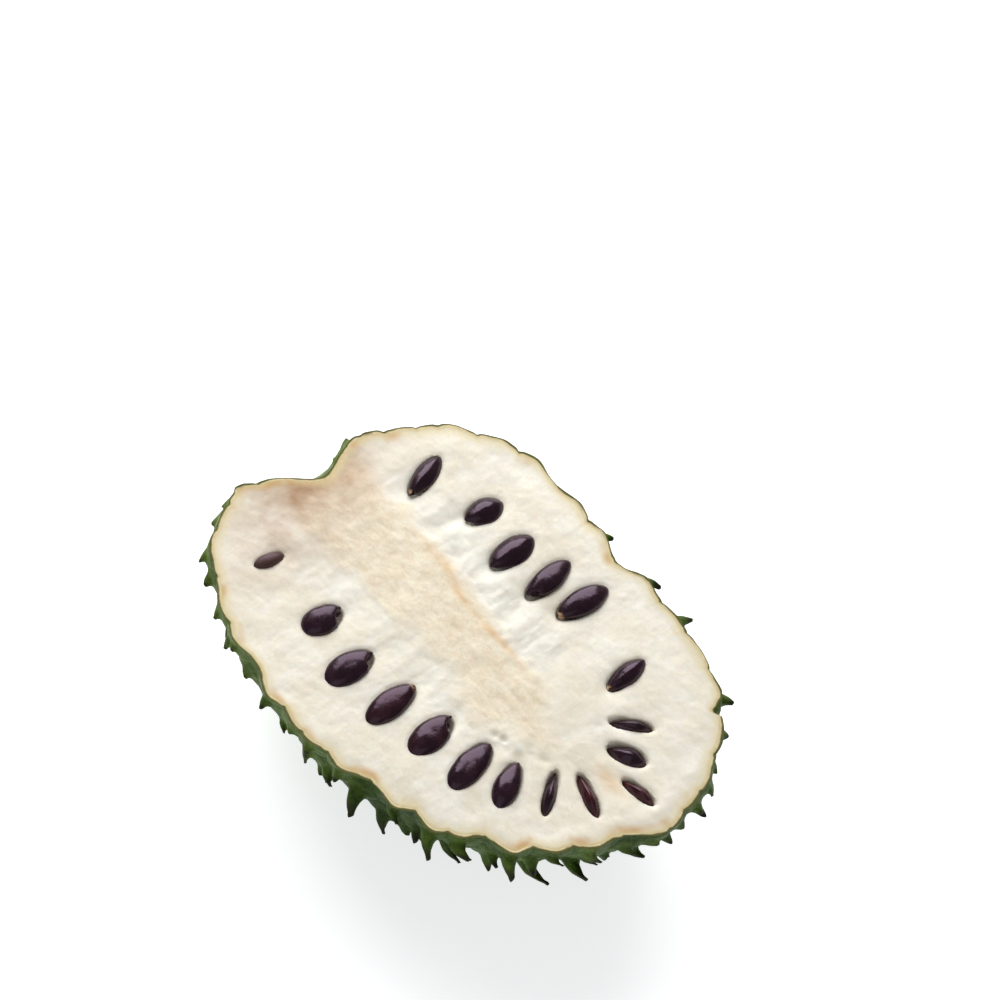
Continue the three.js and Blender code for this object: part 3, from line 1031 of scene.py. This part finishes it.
# %% A shared mottling group
def mottle_group():
    tree = bpy.data.node_groups.new("mottle", "ShaderNodeTree")
    sockets = [("Place", "NodeSocketVector", None), ("Dark", "NodeSocketColor", None),
               ("Light", "NodeSocketColor", None), ("Patch Scale", "NodeSocketFloat", 60.0),
               ("Speck Scale", "NodeSocketFloat", 900.0), ("Specks", "NodeSocketFloat", 0.35)]
    for label, kind, start in sockets:
        socket = tree.interface.new_socket(label, in_out="INPUT", socket_type=kind)
        if start is not None:
            socket.default_value = start
    tree.interface.new_socket("Color", in_out="OUTPUT", socket_type="NodeSocketColor")
    tree.interface.new_socket("Mask", in_out="OUTPUT", socket_type="NodeSocketFloat")
    nodes = Nodes(tree)
    given = nodes.add("NodeGroupInput").outputs
    patches = nodes.noise(given["Place"], given["Patch Scale"], detail=4.0)
    specks = nodes.noise(given["Place"], given["Speck Scale"], detail=2.0, roughness=0.7)
    broad = nodes.span(patches, 0.32, 0.68)
    fine = nodes.span(specks, 0.35, 0.65)
    both = nodes.add("ShaderNodeMix", {"data_type": "FLOAT"})
    nodes.plug(both.inputs[0], given["Specks"])
    nodes.plug(both.inputs[2], broad)
    nodes.plug(both.inputs[3], fine)
    result = nodes.add("NodeGroupOutput")
    nodes.plug(result.inputs["Color"], nodes.mix(both.outputs[0], given["Dark"], given["Light"]))
    nodes.plug(result.inputs["Mask"], both.outputs[0])
    return tree


MOTTLE = mottle_group()


def mottle(nodes, place, dark, light, patch_scale, speck_scale, specks):
    node = nodes.add("ShaderNodeGroup", {"node_tree": MOTTLE}, Place=place, Dark=dark, Light=light,
                     Patch_Scale=patch_scale, Speck_Scale=speck_scale, Specks=specks)
    return node.outputs["Color"], node.outputs["Mask"]


# %% [markdown]
# The skin is a dull, slightly waxy green, yellower around the foot of each spine and towards the stem,
# with points that dry to a dark brown. The cut edge shows a thin brown line and then a tan one.

# %% Skin material
def skin_green(nodes, place, spine, areole):
    """Mottled green, yellower at the foot of each spine and towards the stem, dark at the points."""
    streaks = nodes.stretch(place, (0.7, 1, 1))
    green, mask = mottle(nodes, streaks, (0.015, 0.036, 0.009, 1), (0.075, 0.145, 0.018, 1), 110, 900, 0.4)
    yellow, _ = mottle(nodes, place, (0.075, 0.130, 0.016, 1), (0.220, 0.285, 0.040, 1), 150, 1200, 0.5)
    along = nodes.add("ShaderNodeSeparateXYZ", Vector=place).outputs["X"]
    stemward = nodes.span(along, 0.02, -0.085, 0.0, 0.35)
    warmth = nodes.math("ADD", nodes.math("MULTIPLY", areole, 0.30), stemward)
    colour = nodes.mix(warmth, green, yellow)
    patches = nodes.noise(place, 45, detail=2.0)
    colour = nodes.mix(nodes.span(patches, 0.45, 0.7, 0.0, 0.5), colour, (0.020, 0.040, 0.012, 1))
    return nodes.mix(nodes.span(spine, 0.35, 0.8, 0.0, 0.85), colour, (0.018, 0.016, 0.009, 1)), mask


def skin_material():
    material, nodes, shader = new_material("soursop_skin")
    place = object_place(nodes)
    cut = nodes.attribute("cut")
    colour, mask = skin_green(nodes, place, nodes.attribute("spine"), nodes.attribute("areole"))
    tan_start = nodes.span(nodes.noise(place, 110, detail=3.0), 0.35, 0.65, 0.45, 0.7)
    tan = nodes.span(nodes.math("SUBTRACT", cut, tan_start), 0.0, 0.3)
    cut_colour = nodes.mix(tan, (0.110, 0.105, 0.032, 1), (0.74, 0.62, 0.35, 1))
    colour = nodes.mix(nodes.span(cut, 0.0, 0.15), colour, cut_colour)
    nodes.plug(shader.inputs["Base Color"], colour)
    nodes.plug(shader.inputs["Roughness"], nodes.span(mask, 0.0, 1.0, 0.68, 0.48))
    shader.inputs["Specular IOR Level"].default_value = 0.12
    pebbles = nodes.add("ShaderNodeTexVoronoi", {"feature": "SMOOTH_F1"}, Scale=520.0,
                        Vector=nodes.stretch(place, (0.7, 1, 1)))
    wrinkles = nodes.noise(place, 330, detail=4.0)
    normal = nodes.bump(pebbles.outputs["Distance"], 0.6, 0.0006)
    nodes.plug(shader.inputs["Normal"], nodes.bump(wrinkles, 0.35, 0.0007, normal))
    return material


# %% [markdown]
# The pulp is cream-white and moist. The core is tan and fibrous with an orange line along one edge,
# the flesh by the stem has browned, and a yellow-tan band follows the skin. Grey shade is painted
# into the dimples and fold troughs, and in a thin ring around each seed. Fibres read the strand
# attribute, which is the same all along one fibre, so that they run from the core to the rim.

# %% Pulp material
FLESH_COATS = [  # the mask's name, its strength and its colour
    ("wet", 0.5, (0.90, 0.885, 0.80, 1)),
    # painted shade in the dimples and fold troughs
    ("dip", 0.55, (0.56, 0.55, 0.44, 1)),
    ("vein", 0.65, (0.80, 0.53, 0.25, 1)),
    ("brown", 0.95, (0.44, 0.26, 0.14, 1))]


def flesh_colour(nodes, place, fibres):
    """Cream flesh, tan core, orange vein, white wet parts, browned flesh by the stem and painted shade in
    the dips.
    """
    flesh, mask = mottle(nodes, place, (0.86, 0.79, 0.65, 1), (0.95, 0.91, 0.81, 1), 75, 900, 0.3)
    flesh = nodes.mix(nodes.span(fibres, 0.4, 0.7, 0.0, 0.3), flesh, (0.84, 0.77, 0.60, 1))
    heart, _ = mottle(nodes, place, (0.78, 0.63, 0.42, 1), (0.94, 0.85, 0.67, 1), 240, 1100, 0.45)
    colour = nodes.lay(flesh, nodes.attribute("core"), 0.7, heart)
    for label, strength, coat in FLESH_COATS:
        colour = nodes.lay(colour, nodes.attribute(label), strength, coat)
    return colour, mask


def rim_colour(nodes, place, colour):
    """A tan band along the skin, uneven and here and there orange."""
    rim_gap = nodes.attribute("rim_gap")
    uneven = nodes.noise(place, 130, detail=4.0)
    gap = nodes.math("SUBTRACT", rim_gap, nodes.math("MULTIPLY", uneven, 4.0))
    wide = nodes.span(gap, 2.2, -1.8, 0.0, 0.65)
    colour = nodes.mix(wide, colour, (0.81, 0.67, 0.38, 1))
    spots = nodes.math("MULTIPLY", nodes.span(nodes.noise(place, 60, detail=2.0), 0.50, 0.66),
                       nodes.span(rim_gap, 4.0, 0.5))
    colour = nodes.lay(colour, spots, 0.8, (0.62, 0.34, 0.12, 1))
    strength = nodes.span(nodes.noise(place, 110, detail=3.0), 0.35, 0.65, 0.25, 0.9)
    return nodes.lay(colour, nodes.span(rim_gap, 1.2, 0.0), strength, (0.74, 0.57, 0.26, 1))


def pulp_material():
    material, nodes, shader = new_material("soursop_pulp")
    place = object_place(nodes)
    strand = nodes.attribute("strand", "Vector")
    fibres = nodes.noise(nodes.stretch(strand, (1, 1, 0.2)), 800, detail=3.0, distortion=0.5)
    colour, mask = flesh_colour(nodes, place, fibres)
    colour = rim_colour(nodes, place, colour)
    # Painted shade: a grey-brown ring darkens the pulp along each seed's outline, where the seed would
    # shade it.
    colour = nodes.lay(colour, nodes.attribute("closeness"), 0.12, (0.58, 0.49, 0.38, 1))
    nodes.plug(shader.inputs["Base Color"], colour)
    dry = nodes.span(mask, 0.0, 1.0, 0.60, 0.45)
    shine = nodes.math("MULTIPLY", nodes.attribute("wet"), 0.2)
    nodes.plug(shader.inputs["Roughness"], nodes.math("SUBTRACT", dry, shine))
    shader.inputs["Specular IOR Level"].default_value = 0.32
    shader.inputs["Subsurface Weight"].default_value = 0.25
    shader.inputs["Subsurface Radius"].default_value = (1.0, 0.75, 0.45)
    shader.inputs["Subsurface Scale"].default_value = 0.003
    grain = nodes.noise(place, 650, detail=4.0)
    normal = nodes.bump(fibres, 0.18, 0.0004)
    nodes.plug(shader.inputs["Normal"], nodes.bump(grain, 0.16, 0.0004, normal))
    return material


# %% [markdown]
# A seed's coat is hard and glossy, near-black with a purple-brown cast, and its scar is tan.

# %% Seed material
def seed_material():
    material, nodes, shader = new_material("soursop_seed")
    place = object_place(nodes)
    scar, red, dull = (nodes.attribute(label) for label in ("scar", "red", "dull"))
    coat, mask = mottle(nodes, place, (0.006, 0.002, 0.004, 1), (0.022, 0.007, 0.013, 1), 260, 1500, 0.4)
    blush = nodes.mix(mask, (0.022, 0.001, 0.002, 1), (0.070, 0.012, 0.010, 1))
    coat = nodes.lay(coat, red, 0.85, blush)
    coat = nodes.lay(coat, dull, 0.8, (0.080, 0.040, 0.028, 1))
    chips = nodes.noise(place, 700, detail=2.0)
    bare = nodes.math("MULTIPLY", nodes.span(scar, 0.3, 0.8), nodes.span(chips, 0.42, 0.56))
    nodes.plug(shader.inputs["Base Color"], nodes.mix(bare, coat, (0.52, 0.34, 0.17, 1)))
    gloss = nodes.span(mask, 0.0, 1.0, 0.17, 0.30)
    matt = nodes.math("MULTIPLY", nodes.math("MAXIMUM", bare, dull), 0.25)
    nodes.plug(shader.inputs["Roughness"], nodes.math("ADD", gloss, matt))
    shader.inputs["Specular Tint"].default_value = (1.0, 0.74, 0.97, 1)
    wrinkles = nodes.noise(place, 520, detail=3.0)
    nodes.plug(shader.inputs["Normal"], nodes.bump(wrinkles, 0.3, 0.0003))
    return material


# %% Dress the pieces and tie them to the frame
def finish_piece(piece, material, slot, *nodes):
    piece.data.materials.append(material)
    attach(piece, "root")
    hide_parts(*nodes)


finish_piece(skin, skin_material(), "skin", "skin")
finish_piece(pulp, pulp_material(), "pulp", "pulp")
seed_coat = seed_material()
for piece, name in zip(seed_pieces, seed_names):
    finish_piece(piece, seed_coat, "seed", name)

# %% [markdown]
# ## Floor and light
#
# A product table is often lit from below as well, which keeps its white clean and its shadows faint,
# so the floor glows a little. One large softbox hangs high beyond the stem end, where the seeds mirror
# it as a pale sheen, and a weaker one fills from the front.

# %% Floor and lights
FLOOR_HALF = 3.0  # metres


def make_floor():
    mesh = bpy.data.meshes.new("floor")
    corners = [(x * FLOOR_HALF, y * FLOOR_HALF, 0) for x, y in ((-1, -1), (1, -1), (1, 1), (-1, 1))]
    mesh.from_pydata(corners, [], [(0, 1, 2, 3)])
    floor = bpy.data.objects.new("floor", mesh)
    bpy.context.scene.collection.objects.link(floor)
    material, nodes, shader = new_material("floor")
    shader.inputs["Base Color"].default_value = (0.80, 0.80, 0.80, 1)
    shader.inputs["Roughness"].default_value = 0.9
    shader.inputs["Emission Color"].default_value = (0.965, 0.985, 1.0, 1)
    shader.inputs["Emission Strength"].default_value = 0.68
    mesh.materials.append(material)


def add_light(name, place, power, size):
    """A square softbox that points at the fruit."""
    data = bpy.data.lights.new(name, "AREA")
    data.energy = power
    data.size = size
    light = bpy.data.objects.new(name, data)
    light.location = place
    light.rotation_euler = Vector(place).to_track_quat("Z", "Y").to_euler()
    bpy.context.scene.collection.objects.link(light)


def light_world(strength):
    world = bpy.data.worlds.new("studio")
    world.use_nodes = True
    background = world.node_tree.nodes["Background"]
    background.inputs["Color"].default_value = (1, 1, 1, 1)
    background.inputs["Strength"].default_value = strength
    bpy.context.scene.world = world


make_floor()
add_light("softbox", (-0.78, 0.50, 0.74), 21, 1.25)
add_light("fill", (0.45, -1.0, 0.85), 2, 1.2)
light_world(0.20)
bpy.context.scene.view_settings.view_transform = "Standard"
